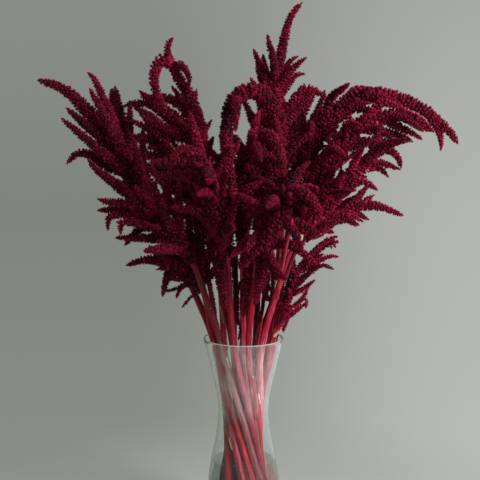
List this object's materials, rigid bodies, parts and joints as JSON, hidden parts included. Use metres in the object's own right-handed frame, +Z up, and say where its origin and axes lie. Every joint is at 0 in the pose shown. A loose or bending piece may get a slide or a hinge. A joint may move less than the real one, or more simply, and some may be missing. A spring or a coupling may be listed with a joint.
{
  "type": "vase of amaranth seed heads",
  "caption": "Bunch of dark red, branching amaranth seed heads on bare stems, standing in a clear hourglass vase with some water.",
  "frame": {"origin": "middle of the vase's foot, on the surface it stands on", "axes": "+Z up; -Y is the front, the side seen in the picture"},
  "size_m": [0.5401, 0.3803, 0.6807],
  "materials": {
    "glass": "clear, smooth",
    "water": "clear water",
    "stem": "satin, ridged raspberry-red stem",
    "seed_head": "matte, covered with tiny crimson florets"
  },
  "bodies": {
    "root": {"vase": "glass", "water": "water", "stem_far_left": "stem", "stem_loop_left": "stem", "stem_centre_arch": "stem", "stem_top_spire": "stem", "stem_high_arch": "stem", "stem_low_arch": "stem", "stem_right_mid": "stem", "stem_right_low": "stem", "stem_right_spray": "stem", "stem_left_mid": "stem", "stem_left_low": "stem", "stem_front_left": "stem", "stem_front_centre": "stem", "stem_front_right": "stem", "stem_back_right": "stem", "stem_back_left": "stem", "head_far_left": "seed_head", "head_loop_left": "seed_head", "head_centre_arch": "seed_head", "head_top_spire": "seed_head", "head_high_arch": "seed_head", "head_low_arch": "seed_head", "head_right_mid": "seed_head", "head_right_low": "seed_head", "head_right_spray": "seed_head", "head_left_mid": "seed_head", "head_left_low": "seed_head", "head_front_left": "seed_head", "head_front_centre": "seed_head", "head_front_right": "seed_head", "head_back_right": "seed_head", "head_back_left": "seed_head"}
  },
  "joints": []
}
